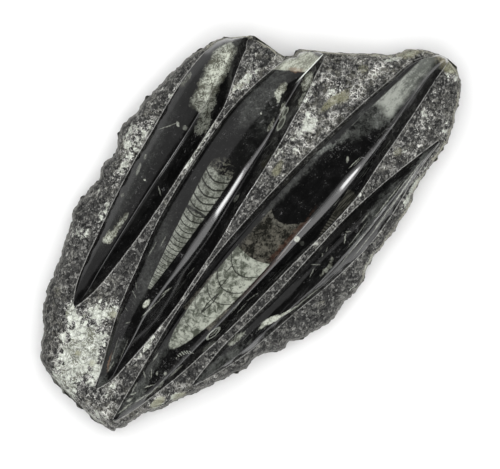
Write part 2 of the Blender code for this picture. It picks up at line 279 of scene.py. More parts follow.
# Heights: the flank rises from the belly like a quarter ellipse, its chips shift it in and out;
# the blades stand on the ground, and the ground between them is hacked and lumpy.
ring = np.concatenate([np.column_stack([column_x, low])[::4],
                       np.column_stack([column_x, high])[::-4]])
inward = rim_distance(x, y, ring)
share = (y - low) / (high - low)
flank = through(FLANK_LOW, column_x) * (1 - share) + through(FLANK_HIGH, column_x) * share
chips = 1.3 * grain(x, y, 8, 5) + 0.7 * grain(x, y, 3.4, 6)
shifted = inward + chips * np.clip(inward / 4, 0, 1)
rise = np.sqrt(1 - (1 - np.clip(shifted / flank, 0, 1)) ** 2)
blade_z = np.zeros_like(y)
for n, (stations, levels, rounding) in enumerate(BLADES):
    rounding = (through(rounding[0], column_x),) + rounding[1:]
    blade_z += blade_profile(levels, rounding, lines[5 * n:5 * n + 5], heights[n], y)
standing = [(lines[5 * n + 4] - lines[5 * n] > NARROW) & (heights[n] > SHALLOW) for n in range(4)]
foot_distance = np.min([np.where(standing[n], np.abs(y - lines[k]), FAR)
                        for n in range(4) for k in (5 * n, 5 * n + 4)], axis=0)
on_blade = np.concatenate([blade_of_row >= 0, [False]])[:, None]
loose = np.where(on_blade, 0, np.clip(foot_distance / 1.2, 0, 1))
loose = loose * np.clip(inward / 2, 0, 1)
hacked = (0.7 * grain(x, y, 17, 7) + 0.75 * crag(x, y, 6.5, 15, 8)
          + 0.75 * crag(x, y, 3.6, 40, 9) + 0.45 * crag(x, y, 1.9, 70, 10))
wavy = 0.05 * grain(x, y, 22, 11) * np.clip(blade_z / 2, 0, 1)
z = BELLY + (GROUND - BELLY + blade_z + wavy) * rise + hacked * loose

# The rim is drawn in to the sawn underside in three steps, and one flat face closes it.
count_rows, count_columns = y.shape
grid = np.arange(count_rows * count_columns).reshape(count_rows, count_columns)
border = np.concatenate([grid[0, :-1], grid[:-1, -1], grid[-1, :0:-1], grid[:0:-1, 0]])
points = np.column_stack([x.ravel(), y.ravel(), z.ravel()])
faces = [np.column_stack([grid[:-1, :-1].ravel(), grid[:-1, 1:].ravel(),
                          grid[1:, 1:].ravel(), grid[1:, :-1].ravel()])]
loop = border
for step in (0.4, 0.75, 1):
    drawn_in = points[border].copy()
    drawn_in[:, :2] *= 1 - (1 - np.array(UNDERSIDE)) * step ** 2
    drawn_in[:, 2] *= 1 - step
    below = len(points) + np.arange(len(border))
    points = np.vstack([points, drawn_in])
    faces.append(np.column_stack([loop, below, np.roll(below, -1), np.roll(loop, -1)]))
    loop = below
quads = np.vstack(faces)
slab_mesh = bpy.data.meshes.new("fossil_slab")
slab_mesh.from_pydata((points * MM).tolist(), [], quads.tolist() + [loop[::-1].tolist()])
slab_mesh.shade_smooth()


def added(name, data):
    """A new object with this data, put into the scene."""
    thing = bpy.data.objects.new(name, data)
    bpy.context.scene.collection.objects.link(thing)
    return thing


slab = added("fossil_slab", slab_mesh)

# The texture layout has the top with its sides folded out above, and the underside below: the
# millimetres that its width and height stand for, and where the slab's middle lies in it
TOP_SHEET, TOP_MIDDLE = (324, 260), (0.5, 0.605)
LOW_SHEET, LOW_MIDDLE = (300, 900), (0.5, 0.1)
HALF_PLAN = (140, 79)  # half axes of an ellipse about the slab


def outwards(across, drop):
    """Points of a plan moved away from the middle by how far they lie below, as if the sides were
    folded down flat: the direction is that of the outward normal of an ellipse."""
    away = across / np.array(HALF_PLAN) ** 2
    return across + away / np.maximum(np.linalg.norm(away, axis=1), 1e-6)[:, None] * drop[:, None]


corner_point = np.empty(len(slab_mesh.loops), dtype=np.int32)
slab_mesh.loops.foreach_get("vertex_index", corner_point)
place = points[corner_point]
of_top = np.arange(len(place)) < 4 * (count_rows - 1) * (count_columns - 1)
top_plan = outwards(place[:, :2], np.maximum(GROUND - place[:, 2], 0)) / TOP_SHEET + TOP_MIDDLE
low_plan = outwards(place[:, :2], place[:, 2]) / LOW_SHEET + LOW_MIDDLE
layout = slab_mesh.uv_layers.new(name="OFBake")
laid_out = np.where(of_top[:, None], top_plan, low_plan)
layout.data.foreach_set("uv", laid_out.ravel().astype(np.float32))

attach(slab, "root")
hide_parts("fossil_plate")

# ------------------------------------------------------------------------------
# The chiselled finish of the ground, the flanks and the underside: dry dark grey stone, bruised
# white where the chisel crushed it, with coarse calcite where a shell or a vein was broken open.

def connect(tree, value, socket):
    """Links a socket to a shade, or sets it to a number, a vector or an opaque colour."""
    if isinstance(value, Shade):
        tree.links.new(value.socket, socket)
    else:
        socket.default_value = (*value, 1) if socket.type == "RGBA" else value


def operator_pair(operation):
    """The methods that add this Math node for shade and other, and for other and shade."""
    def forward(self, other):
        return self.math(operation, self, other)

    def reflected_form(self, other):
        return self.math(operation, other, self)
    return forward, reflected_form


class Shade:
    """A socket of a material. Python's operators add the Math nodes of an expression."""

    def __init__(self, tree, socket):
        self.tree = tree
        self.socket = socket

    def node(self, kind, settings, sockets, output=0):
        """A node of this kind: its settings are made first, then its sockets get numbers or links.
        The stops of a ramp are (place, colour)."""
        node = self.tree.nodes.new(kind)
        for name, value in settings.items():
            if name == "stops":
                ramp = node.color_ramp
                ramp.elements.remove(ramp.elements[0])
                ramp.elements[0].position = value[0][0]
                for place, _ in value[1:]:
                    ramp.elements.new(place)
                for element, (_, colour) in zip(ramp.elements, value):
                    element.color = (*colour, 1)
            else:
                setattr(node, name, value)
        for name, value in sockets.items():
            connect(self.tree, value, node.inputs[name])
        return Shade(self.tree, node.outputs[output])

    def math(self, operation, first, *rest):
        """A Math node that does this operation on numbers or sockets."""
        sockets = dict(enumerate((first,) + rest))
        return self.node("ShaderNodeMath", {"operation": operation}, sockets)

    def __abs__(self):
        return self.math("ABSOLUTE", self)

    __add__, __radd__ = operator_pair("ADD")
    __sub__, __rsub__ = operator_pair("SUBTRACT")
    __mul__, __rmul__ = operator_pair("MULTIPLY")
    __truediv__, _ = operator_pair("DIVIDE")
    __pow__, _ = operator_pair("POWER")
    least, _ = operator_pair("MINIMUM")
    most, _ = operator_pair("MAXIMUM")

    def rising(self, start, end):
        """0 below start and 1 above end, smooth between them. With start above end it falls."""
        sockets = {"Value": self, "From Min": start, "From Max": end}
        return self.node("ShaderNodeMapRange", {"interpolation_type": "SMOOTHSTEP"}, sockets)

    def paint(self, under, over):
        """The colour under where this mask is 0, and the colour over where it is 1."""
        settings = {"data_type": "RGBA", "clamp_factor": True}
        return self.node("ShaderNodeMix", settings, {0: self, 6: under, 7: over}, 2)

    def noise(self, size, detail=2, roughness=0.5, distortion=0, output=0):
        """Noise at this point, with its features about size across, from 0 to 1."""
        sockets = {"Vector": self, "Scale": 1 / size, "Detail": detail, "Roughness": roughness,
                   "Distortion": distortion}
        return self.node("ShaderNodeTexNoise", {}, sockets, output)

    def placed(self, at, size=(1, 1), turn=0):
        """This point seen from a frame at a place, turned by degrees and measured in sizes."""
        sockets = {"Vector": self, "Location": (*at, 0), "Scale": (*size, 1e6),
                   "Rotation": (0, 0, np.radians(turn))}
        return self.node("ShaderNodeMapping", {"vector_type": "TEXTURE"}, sockets)

    def vector(self, operation, sockets, output=0):
        """A Vector Math node that does this operation."""
        return self.node("ShaderNodeVectorMath", {"operation": operation}, sockets, output)

    def distance(self):
        """How far this point lies from its frame's origin."""
        return self.vector("LENGTH", {0: self}, 1)

    def blot(self, at, size, turn=0, soft=0.3):
        """1 inside an ellipse with half axes of this size, 0 outside, soft over a share of it."""
        return self.placed(at, size, turn).distance().rising(1 + soft, 1 - soft)

    def xyz(self):
        """The three coordinates of this point."""
        return [self.node("ShaderNodeSeparateXYZ", {}, {0: self}, k) for k in range(3)]

    def carried(self, name):
        """The number that the mesh carries under this name."""
        return self.node("ShaderNodeAttribute", {"attribute_name": name}, {}, 2)

    def cells(self, size):
        """A number from 0 to 1 for each crumbly cell, about size across, that this point is in."""
        cell = self.node("ShaderNodeTexVoronoi", {}, {"Vector": self, "Scale": 1 / size}, 1)
        return self.node("ShaderNodeSeparateColor", {}, {0: cell})

    def cell_edge(self, size):
        """The distance to the nearest edge between two such cells."""
        sockets = {"Vector": self, "Scale": 1 / size}
        return self.node("ShaderNodeTexVoronoi", {"feature": "DISTANCE_TO_EDGE"}, sockets)

    def bump(self, depth):
        """The normal of a surface that this height shifts by up to a depth in millimetres."""
        sockets = {"Strength": 1, "Distance": depth * MM, "Height": self}
        return self.node("ShaderNodeBump", {}, sockets)

    def moved_by(self, other, amount):
        """This point pushed about by a coloured noise, by up to about this amount."""
        centred = self.vector("SUBTRACT", {0: other, 1: (0.5, 0.5, 0.5)})
        return self.vector("MULTIPLY_ADD", {0: centred, 1: (2 * amount,) * 3, 2: self})


def new_material(name):
    """A material and its point in millimetres, on which its patterns are laid out."""
    material = bpy.data.materials.new(name)
    material.use_nodes = True
    tree = material.node_tree
    coordinates = tree.nodes.new("ShaderNodeTexCoord")
    metres = Shade(tree, coordinates.outputs["Object"])
    return material, metres.vector("SCALE", {0: metres, "Scale": 1 / MM})


def finish(point, **values):
    """Sets the material's Principled shader."""
    shader = point.tree.nodes["Principled BSDF"]
    for name, value in values.items():
        connect(point.tree, value, shader.inputs[name.replace("_", " ")])


def grey(level, warm=0):
    """A grey of this level, with a tenth less blue for a warmth of 1."""
    return (level, level * (1 - 0.01 * warm), level * (1 - 0.1 * warm))


def sum_of_blots(blots):
    """Strength of each (x, y, half length, half width, turn, strength) patch, the largest wins:
    full at its middle and gone at its edge."""
    total = np.zeros_like(y)
    for at_x, at_y, length, width, turn, strength in blots:
        turned = np.radians(turn)
        along = (x - at_x) * np.cos(turned) + (y - at_y) * np.sin(turned)
        across = (y - at_y) * np.cos(turned) - (x - at_x) * np.sin(turned)
        far = np.hypot(along / length, across / width)
        total = np.maximum(total, strength * np.clip(1.6 * (1 - far), 0, 1))
    return total


def carry(name, values):
    """Writes one number for each point of the top into the mesh, and 0 for the underside."""
    layer = slab_mesh.attributes.new(name, "FLOAT", "POINT")
    spread = np.zeros(len(slab_mesh.vertices), dtype=np.float32)
    spread[:values.size] = values.ravel()
    layer.data.foreach_set("value", spread)


# Where the stone is full of calcite, where it is stained olive, where the chisel bruised it, where
# it is full of shell, and how far a foot or the rim is
CALCITE = (
    (-136, 4, 9, 12, 0, 0.85), (-112, 13, 24, 17, 20, 1), (-125, 9, 15, 12, 0, 1),
    (-99, 22, 20, 7, -12, 0.8), (-122, -3, 10, 6, 20, 0.75), (-103, 31, 9, 5, 30, 1),
    (-134, 9, 10, 8, 0, 1), (-138, 10, 9, 11, 0, 1), (-127, -11, 14, 9, -30, 0.32),
    (-89, 15.6, 10, 5, -6, 0.95), (-137, -16, 7, 13, 0, 0.4), (-117, -13.5, 3, 2.5, 80, 0.8),
    (-88, -12.6, 16, 2.6, 6, 0.8), (-109, -38, 6, 4, -20, 1), (-99, -43.5, 7, 3, -30, 0.7),
    (-8, 69.5, 18, 8, 10, 0.62), (-22, 63, 18, 3, 16, 0.7), (-2, 66, 14, 2.2, 12, 0.8),
    (-50, 54, 14, 3, 15, 0.55), (-68, 57, 10, 6, 0, 0.5), (22, 69.6, 14, 1.8, 8, 0.6),
    (14, 39.8, 22, 2, 8, 0.95), (56, 44.5, 13, 4, -4, 0.75), (66, 50, 8, 5, 80, 0.4),
    (62, 2.5, 8, 5, -15, 0.85), (84, 3.5, 9, 6, 25, 0.5), (72, 13.5, 12, 2.4, 14, 0.7),
    (52, 4, 26, 7, 8, 0.3), (119, -7.5, 7, 2.6, -35, 0.8), (128, -13.5, 9, 2.2, -48, 0.7),
    (100, -45, 26, 8, 0, 0.28), (108, -56, 12, 4, 25, 0.4), (56, -45, 10, 2.4, -8, 0.35),
    (28, -72.8, 9, 2, 15, 0.9), (74, -63.5, 24, 1.8, 12, 0.8), (45, -45.3, 50, 1.6, -3, 0.2),
    (12, -75.3, 3, 2.4, 0, 0.8), (136, -38, 6, 7, 60, 0.6))
OLIVE = (
    (-117, 12.9, 3.4, 2.8, 0, 0.9), (-115.5, 3, 4, 3, 0, 0.6), (-88.3, 12.8, 4, 3, 0, 0.7),
    (32, -1, 9, 3.6, 8, 0.75), (84, -1.5, 8, 5, 10, 0.8), (80, 1.2, 17, 3.4, -9, 1),
    (104, 1, 6, 4, -30, 0.7), (-108, -38, 7, 4, -20, 0.9), (-98, -44, 8, 3, -30, 0.8),
    (128, -12, 12, 5, -45, 0.8), (137, -33, 6, 10, 20, 1), (-102, 43, 9, 5, 30, 0.4),
    (-118, 30, 9, 5, 30, 0.35), (83, -44, 6, 4, 0, 0.5), (55, 46, 14, 5, 0, 0.4),
    (-14, 69, 14, 7, 10, 0.45), (-8, -68, 8, 4, 0, 0.3))
BRUISED = (
    (85, 2, 70, 30, 0, 0.75), (60, 46, 34, 18, 0, 0.6), (95, -48, 60, 14, 5, 0.35),
    (105, -8, 30, 12, -30, 0.7), (40, -44.5, 70, 8, 0, 0.2), (-122, -19, 26, 14, 20, 0.5),
    (-138, -18, 12, 24, 0, 0.9), (-124, -33, 16, 7, -20, 0.8), (-105, 20, 40, 30, 20, 0.5),
    (-10, 66, 50, 12, 12, 0.5), (0, 36, 50, 8, 8, 0.5), (-100, -40, 30, 8, -30, 0.5))
SHELLY = (
    (-75, 14, 26, 9, 25, 1), (-95, 2, 22, 7, 30, 0.8), (-66, 2, 10, 5, 0, 0.9),
    (-108, -26, 22, 6, 0, 1), (-84, -29, 16, 6, -8, 0.9), (-40, -37.5, 30, 4, 0, 0.8),
    (55, 27, 14, 8, 20, 0.9), (40, 34, 26, 5, 8, 0.7), (-25, 50, 50, 6, 14, 0.5),
    (62, -17, 18, 7, -8, 0.8), (78, -32, 22, 6, 10, 0.9), (20, -54, 40, 6, -4, 0.6),
    (-52, -49, 22, 6, -14, 1), (90, -23, 14, 9, 0, 0.6), (14, 46, 18, 4, 12, 0.6))
for name, blots in (("calcite", CALCITE), ("olive", OLIVE), ("bruised", BRUISED), ("shelly", SHELLY)):
    carry(name, sum_of_blots(blots))
carry("foot", np.clip(foot_distance, 0, FAR))
carry("rim", np.clip(inward, 0, FAR))

chiselled, point = new_material("chiselled_limestone")
calcite, olive, bruised = point.carried("calcite"), point.carried("olive"), point.carried("bruised")
foot, rim = point.carried("foot"), point.carried("rim")
x_mm, y_mm, z_mm = point.xyz()

# how light the dry stone is: broken facets and chips, each with crumbs and tool scratches on it
broken = point.moved_by(point.noise(2.6, 3, 0.6, 0, 1), 1.6)
facet, chip = broken.cells(3.1), broken.cells(1.25)
cracks, fine_cracks = broken.cell_edge(4.3), broken.cell_edge(2.3)
broad = point.noise(8, 3)
lumps = point.noise(2.6, 5, 0.62, 0.5)
crumbs = point.noise(1.15, 4, 0.72, 0.3)
scratches = point.placed((0, 0), (2.4, 0.7), 28).noise(1, 4, 0.7)
dust_and_rim_light = 0.26 * facet + 0.5 * lumps + 0.95 * (crumbs - 0.5) + 0.75 * (scratches - 0.5) + 0.35
# the last term paints the stone lighter within a few mm of the rim: painted light on the steep flanks,
# which the lamps reach less
dust_and_rim_light = dust_and_rim_light + 0.22 * (chip - 0.5) + 0.45 * (broad - 0.5) + 0.08 * bruised + 0.06 * rim.rising(10, 3)
stone = dust_and_rim_light.node("ShaderNodeValToRGB", {"stops": (
    (0.6, grey(0.03, 0.2)), (0.76, grey(0.071, 0.4)), (0.9, grey(0.12, 0.7)),
    (1.06, grey(0.23, 1)))}, {0: dust_and_rim_light})

# darker and olive where it is bruised, with single chips much lighter or darker
crushed = dust_and_rim_light.rising(0.66, 1.14).paint((0.02, 0.019, 0.014), (0.105, 0.101, 0.074))
stone = (0.75 * bruised * (broad + 0.6 * (facet - 0.5)).rising(0.42, 0.58)).paint(stone, crushed)
stone = (0.65 * chip.rising(0.86, 0.9)).paint(stone, grey(0.27, 0.6))
stone = (0.75 * chip.rising(0.15, 0.11)).paint(stone, grey(0.014))

# white veins along the cracks between facets, and white threads where crystals were crushed
vein = cracks.rising(0.075, 0.015) * (broad + 0.5 * lumps + 0.2 * bruised).rising(0.86, 1.08)
fine_vein = fine_cracks.rising(0.12, 0.03)
fine_vein = fine_vein * (broad + 0.5 * crumbs + 0.22 * bruised).rising(0.9, 1.12)
vein = vein.most(0.6 * fine_vein)
threads = abs(point.noise(3, 4, 0.5, 1.4) - 0.5).rising(0.04, 0.008)
held = 0.6 * lumps + 0.4 * scratches + 0.07 * bruised + 0.2 * calcite
stone = (0.95 * vein.most(threads * held.rising(0.53, 0.69))).paint(stone, grey(0.8, 0.6))

# calcite crystals in ragged fields, streaked with white wisps and parted by dark clefts
sparry = calcite + 0.35 * calcite.rising(0.7, 1) + 1.3 * (broad - 0.5) + 1.2 * (lumps - 0.5)
sparry = (sparry + 0.7 * (facet - 0.5)).rising(0.56, 0.78)
spar = (0.5 * facet + 0.3 * crumbs + 0.35 * scratches + 0.25 * lumps).rising(0.44, 0.97)
spar = spar.paint((0.155, 0.16, 0.12), (0.61, 0.64, 0.565))
wisps = abs(point.noise(3.2, 4, 0.55, 2.4) - 0.5).rising(0.07, 0.01) * crumbs.rising(0.38, 0.55)
spar = (0.85 * wisps).paint(spar, (0.88, 0.9, 0.85))
clefts = cracks.rising(0.05, 0.01) * lumps.rising(0.58, 0.46)
stone = (sparry * 0.95).paint(stone, (0.7 * clefts).paint(spar, grey(0.08, 1)))

# stains and dark pits, then what was crushed along the blades' feet; along the rim, wear and cream
# weathering painted paler than they are, as painted light on the steep rim that the lamps light less
stained = (olive + 1.2 * (broad - 0.5) + 0.8 * (crumbs - 0.5)).rising(0.35, 0.9)
stone = (0.68 * stained).paint(stone, (0.26, 0.255, 0.16))
pits = (crumbs + 0.6 * lumps).rising(0.7, 0.58) * (1 - 0.85 * sparry)
stone = (0.85 * pits).paint(stone, grey(0.014))
crushed_foot = foot.rising(0.6, 0.15) * (lumps + crumbs).rising(0.8, 0.95)
stone = (0.7 * crushed_foot).paint(stone, grey(0.45, 0.5))
# rim wear, painted lighter to make up for the shade on the steep rim: part wear, part painted light
rim_wear_and_light = rim.rising(2, 0.5) * (lumps + crumbs).rising(0.8, 1.05)
stone = (0.75 * rim_wear_and_light).paint(stone, grey(0.32, 0.8))
# cream weathering on the rim, painted paler than it is: part colour, part painted light on the steep
# flank
cream_and_rim_light = (rim + 5 * (lumps - 0.5)).rising(2.6, 1) * (x_mm - 0.25 * y_mm).rising(22, 44)
cream_and_rim_light = cream_and_rim_light * (crumbs + 0.5 * broad).rising(0.72, 0.86)
cream_and_rim_light = cream_and_rim_light * (z_mm + 6 * (lumps - 0.5)).rising(9, 15)
stone = (0.85 * cream_and_rim_light).paint(stone, (0.66, 0.64, 0.51))

relief = 0.9 * facet + 1.1 * lumps + 0.7 * crumbs + 0.9 * cracks.rising(0, 0.16)
finish(point, Base_Color=stone, Roughness=0.8, Normal=relief.bump(0.7), Specular_IOR_Level=0.12)

# ------------------------------------------------------------------------------
# The polished finish of the blades: jet black limestone like dark glass, full of small bits of
# shell. Every blade is cut along other fossils, so each has a material of its own.

BLACK = grey(0.0026)
SMOKE = grey(0.006)


def spots(where, table, soft=0.3):
    """The strongest of the blots in the table: (x, y, half length, half width, turn, strength)."""
    strongest = None
    for at_x, at_y, length, width, turn, strength in table:
        blot = where.blot((at_x, at_y), (length, width), turn, soft) * strength
        strongest = blot if strongest is None else strongest.most(blot)
    return strongest


def stretched(point, share):
    """The point with its X scaled to this share, so that a noise on it is drawn out along X."""
    return point.vector("MULTIPLY", {0: point, 1: (share, 1, 1)})


class BlackStone:
    """A polished material that is painted layer by layer, from the black stone up."""

    def __init__(self, name):
        """The black stone itself, a little smoky, with its fine hash of broken shell."""
        self.material, point = new_material(name)
        self.point = point
        self.x, self.y, _ = point.xyz()
        self.mottle = point.noise(2.2, 4, 0.6, 0.5)
        self.clouds = point.noise(7, 4, 0.6)
        self.specks = point.noise(0.9, 3, 0.55)
        shelly = point.carried("shelly")
        self.ragged = point.moved_by(point.noise(4, 2.5, 0.55, 0, 1), 2.6)
        self.rough = point.moved_by(point.noise(2.6, 3, 0.6, 0, 1), 1.9)
        self.wobbly = point.moved_by(point.noise(1.6, 2, 0.5, 0, 1), 0.5)
        self.pale = 0
        drawn_out = stretched(point, 0.22).noise(2.6, 5, 0.6, 0.3)
        self.colour = (0.6 * self.clouds + 0.4 * drawn_out).rising(0.42, 0.68).paint(BLACK, SMOKE)
        shell_bits = abs(point.noise(5.5, 2, 0.4, 1.6) - 0.5).rising(0.02, 0.004)
        shell_bits = 0.7 * shell_bits * self.mottle.rising(0.5, 0.6)
        self.paint(shell_bits * (self.clouds + 0.24 * shelly).rising(0.55, 0.67), grey(0.15))
        hash_bits = 0.6 * self.specks + 0.4 * self.mottle + 0.05 * shelly
        self.paint(0.6 * hash_bits.rising(0.6, 0.68), grey(0.07, 0.5))
        fine_bits = point.noise(0.6, 2, 0.6).rising(0.52, 0.7)
        fine_bits = fine_bits * (self.clouds + 0.12 * shelly).rising(0.44, 0.62)
        self.paint(0.45 * fine_bits, grey(0.04))

    def paint(self, mask, colour):
        """Lays a colour over what is there, where the mask is 1."""
        self.colour = mask.paint(self.colour, colour)

    def striated(self, table):
        """Fine light lines along the blade inside these patches."""
        lines = stretched(self.point, 0.06).noise(0.85, 3, 0.6).rising(0.56, 0.66)
        self.paint(0.8 * lines * spots(self.rough, table, 0.4), (0.085, 0.09, 0.08))

    def calcite(self, table, where=None):
        """Pale calcite that filled hollows, blotched, in these patches."""
        filled = spots(where or self.ragged, table)
        veins = abs(self.point.noise(3.2, 3, 0.55, 1.2) - 0.5).rising(0.06, 0.01)
        tone = 0.55 * self.clouds + 0.25 * self.mottle + 0.25 * self.specks - 0.08 * veins
        colour = tone.rising(0.42, 0.62).paint((0.075, 0.075, 0.056), (0.52, 0.545, 0.465))
        patchy = (self.mottle + 0.8 * filled + 0.5 * (self.specks - 0.5)).rising(0.5, 0.74)
        self.paint(filled * patchy, colour)
        self.pale = filled

    def haze(self, table):
        """Thin grey veils in these patches."""
        veil = spots(self.ragged, table, 0.4)
        veined = (0.4 * self.mottle + 0.3 * self.clouds + 0.3 * self.specks).rising(0.4, 0.6)
        self.paint(veil * (0.15 + 0.85 * veined), (0.32, 0.34, 0.31))

    def marks(self, table):
        """Small pale shells and bits of shell."""
        tone = (0.5 * self.mottle + 0.5 * self.specks).rising(0.4, 0.56)
        colour = tone.paint((0.22, 0.23, 0.19), (0.52, 0.54, 0.47))
        self.paint(spots(self.wobbly, table, 0.25), colour)

    def done(self, grooves, gloss=0.5):
        """The chipped edge at the foot, then the shader; calcite is polished less well. The last
        strokes of the polishing leave grooves along the blade, this deep in millimetres."""
        wear = self.point.carried("foot").rising(0.3, 0.05) * self.mottle.rising(0.42, 0.58)
        self.paint(0.6 * wear, grey(0.22, 0.5))
        roughness = 0.12 + 0.06 * self.pale + 0.05 * (self.clouds - 0.5)
        strokes = stretched(self.point, 0.05).noise(1.3, 2, 0.5)
        finish(self.point, Base_Color=self.colour, Roughness=roughness, Normal=strokes.bump(grooves),
               Specular_IOR_Level=gloss)
        return self.material


# ------------------------------------------------------------------------------
# The low blade, the slimmest of the four: a sliver of calcite and a few lines of broken shell.

low_blade = BlackStone("polished_low_blade")
low_blade.striated((
    (20, -62.2, 50, 2.6, 0, 0.9), (70, -57, 30, 4, 5, 0.9), (-40, -58.6, 24, 2, -8, 0.7),
    (-60, -49, 16, 4, -12, 0.6)))
low_blade.calcite((
    (8.5, -57.9, 4.6, 1.2, 0, 0.4), (13, -56.6, 3, 0.8, 10, 0.3),
    (-52.5, -46.6, 6, 1.6, -12, 0.5)), low_blade.rough)
low_blade.haze((
    (-70, -49, 16, 3, -10, 0.18), (84, -57, 12, 1.6, 4, 0.2), (56, -56, 14, 3, 4, 0.14),
    (38, -59, 12, 1.6, 3, 0.12)))
low_blade.marks((
    (-36, -52.8, 4.6, 0.9, -8, 0.6), (-32.5, -53.8, 5.4, 1.6, -22, 0.9),
    (-24, -57.2, 8.5, 0.7, -18, 0.9), (-10, -60.4, 9, 0.35, -9, 0.5), (28, -54, 2.6, 0.4, 35, 0.5),
    (32, -52.8, 1.4, 0.4, -40, 0.35), (6.5, -51.6, 2.4, 0.35, -50, 0.3),
    (13, -50.8, 1, 0.35, 30, 0.35), (17, -50.5, 1.4, 0.3, 20, 0.3), (2, -53, 2.8, 0.35, 15, 0.25),
    (44, -54.5, 3.4, 0.4, 4, 0.25), (28, -61, 15, 0.25, 3, 0.35), (40, -63.2, 16, 0.25, 4, 0.4),
    (52, -61.6, 12, 0.3, 7, 0.5), (70, -59.8, 14, 0.35, 8, 0.75), (60, -57.4, 12, 0.25, 4, 0.4),
    (76, -57.6, 12, 0.25, 3, 0.35), (34, -57.6, 9, 0.2, 5, 0.3)))
low_blade_stone = low_blade.done(0.16)

# ------------------------------------------------------------------------------
# The wide blade shows the largest orthocone, cut a little off its axis: chambers full of pale
# calcite parted by curved septa, then a muddy one, then the empty body chamber, filled with black.

wide_blade = BlackStone("polished_wide_blade")
x_mm, y_mm = wide_blade.x, wide_blade.y
mottle, specks, clouds = wide_blade.mottle, wide_blade.specks, wide_blade.clouds
MIDDLE = -22.9  # the shell's axis, along X
HALF_WIDTH = 9.9
SHELL_PLACE, HALF_LENGTH = -10, 70.5
SEPTUM_BULGE = 0.065  # how far a septum bows towards the tip, in mm for a mm squared
BODY_MIDDLE = -19.5  # the body chamber was pressed a little aside
# where each septum stands, and how wide and dark it shows
SEPTA = ((-25.8, 0.33), (-37.3, 0.33), (-45.6, 0.28), (-55.4, 0.16), (-64.8, 0.16), (-72, 0.14))
off_axis = y_mm - MIDDLE
bow = SEPTUM_BULGE * off_axis * off_axis
uneven = 0.5 * (mottle - 0.5)

wide_blade.striated((
    (90, -33.2, 30, 3.6, 8, 1), (112, -30.5, 20, 2.4, 8, 0.9), (80, -14.2, 34, 1.6, -8, 0.9),
    (-30, -39.4, 44, 2.4, -2, 0.6), (-108, -28.5, 18, 3.6, -4, 0.7)))

# the muddy chamber with its paler lining, and the rust along its lower side
body_arc = x_mm - SEPTUM_BULGE * (y_mm - BODY_MIDDLE) ** 2
in_mud = ((off_axis / HALF_WIDTH) ** 2 + uneven).rising(1.03, 0.97)
in_mud = in_mud * body_arc.rising(10.9, 10.1) * x_mm.rising(-60, -59)
mud = (0.55 * mottle + 0.7 * (clouds - 0.5) + 0.3 * specks).rising(0.34, 0.58)
mud = mud.paint((0.009, 0.009, 0.007), (0.096, 0.091, 0.074))
lining = (body_arc + 3 * (mottle - 0.5)).rising(6, 9.5)
mud = (0.6 * lining * mottle.rising(0.42, 0.56)).paint(mud, (0.12, 0.118, 0.1))
rusty = (0.7 * (-29.5 - y_mm) + 5 * (mottle - 0.5)).rising(0.2, 1) * x_mm.rising(-12, -4)
wide_blade.paint(in_mud, (0.55 * rusty).paint(mud, (0.04, 0.015, 0.009)))

# the chambers full of calcite, their septa and the tube that ran through them
in_shell = ((x_mm - SHELL_PLACE) / HALF_LENGTH) ** 2 + (off_axis / HALF_WIDTH) ** 2
in_shell = (in_shell + 0.2 * uneven).rising(1.03, 0.97)
in_shell = in_shell * (x_mm - 0.028 * (y_mm + 20).least(0) ** 2).rising(-14.2, -14.8)
patchy = wide_blade.point.noise(3.4, 3, 0.55, 1)
spar = 0.5 * patchy + 0.25 * mottle + 0.25 * clouds + 0.005 * (-22 - y_mm)
spar = spar.rising(0.41, 0.59)
spar = spar.paint((0.058, 0.064, 0.049), (0.335, 0.352, 0.3))
blotches = 0.8 * (0.2 * specks + 0.8 * mottle).rising(0.54, 0.62)
spar = blotches.paint(spar, (0.06, 0.064, 0.052))
dark_lines = spots(wide_blade.wobbly, (
    (-35.6, -20.8, 5, 0.28, 0, 1), (-26, -18, 3, 0.3, 0, 1)), 0.45)
tube = wide_blade.wobbly.placed((-48, -22.7), (5.3, 0.75)).distance() - 1
dark_lines = dark_lines.most(abs(tube).rising(0.55, 0.25))
arc = x_mm - bow + 0.6 * (mottle - 0.5)
for at_x, weight in SEPTA:
    septum = abs(arc - at_x).rising(0.3 + weight, 0.12)
    dark_lines = dark_lines.most(septum * min(1, 3 * weight))
spar = (0.88 * dark_lines).paint(spar, (0.014, 0.014, 0.012))
wide_blade.paint(in_shell, spar)
rust_line = y_mm + 33.9 - 0.13 * (x_mm - 4).most(0) + 1.2 * (mottle - 0.5)
rust_line = abs(rust_line).rising(0.9, 0.4) * x_mm.rising(-40, -28) * x_mm.rising(33, 26)
rust_line = rust_line * (x_mm.rising(10, 0) + mottle.rising(0.46, 0.58)).least(1)
wide_blade.paint(0.85 * rust_line, (0.022, 0.012, 0.008))

# a cloud of grey calcite at the broad end
streaky = stretched(wide_blade.point, 0.25).noise(1.9, 4, 0.6)
ragged_x, ragged_y, _ = wide_blade.ragged.xyz()
cloud = (0.7 * ragged_y + 0.3 * y_mm - 0.05 * (x_mm - 110)).rising(-29.5, -24.5)
cloud = cloud * (y_mm + 0.08 * (x_mm - 95)).rising(-16.4, -17.2)
cloud = cloud * (ragged_x + 4 * (mottle - 0.5) + 0.06 * (y_mm + 22) ** 2).rising(91.5, 98.5)
cloud_tone = 0.45 * streaky + 0.25 * mottle + 0.3 * specks - 0.0055 * (x_mm - 104)
cloud_tone = cloud_tone.rising(0.33, 0.57).paint((0.1, 0.106, 0.095), (0.315, 0.33, 0.295))
wide_blade.paint(0.95 * cloud, cloud_tone)
wide_blade.haze((
    (-114, -26, 12, 3, 3, 0.22), (-92, -22.5, 14, 2.4, 10, 0.12), (90, -25, 8, 4, -20, 0.25),
    (58, -13.6, 7, 1.2, -20, 0.45), (70, -17, 6, 1.8, -12, 0.25), (34, -12.6, 26, 1.8, 0, 0.1),
    (84, -20, 12, 5, 0, 0.14)))

# the weathered rind that is left at the very end
rind = (x_mm + 4 * (mottle - 0.5)).rising(131, 135) * clouds.rising(0.38, 0.56)
wide_blade.paint(0.7 * rind, (0.27, 0.25, 0.18))

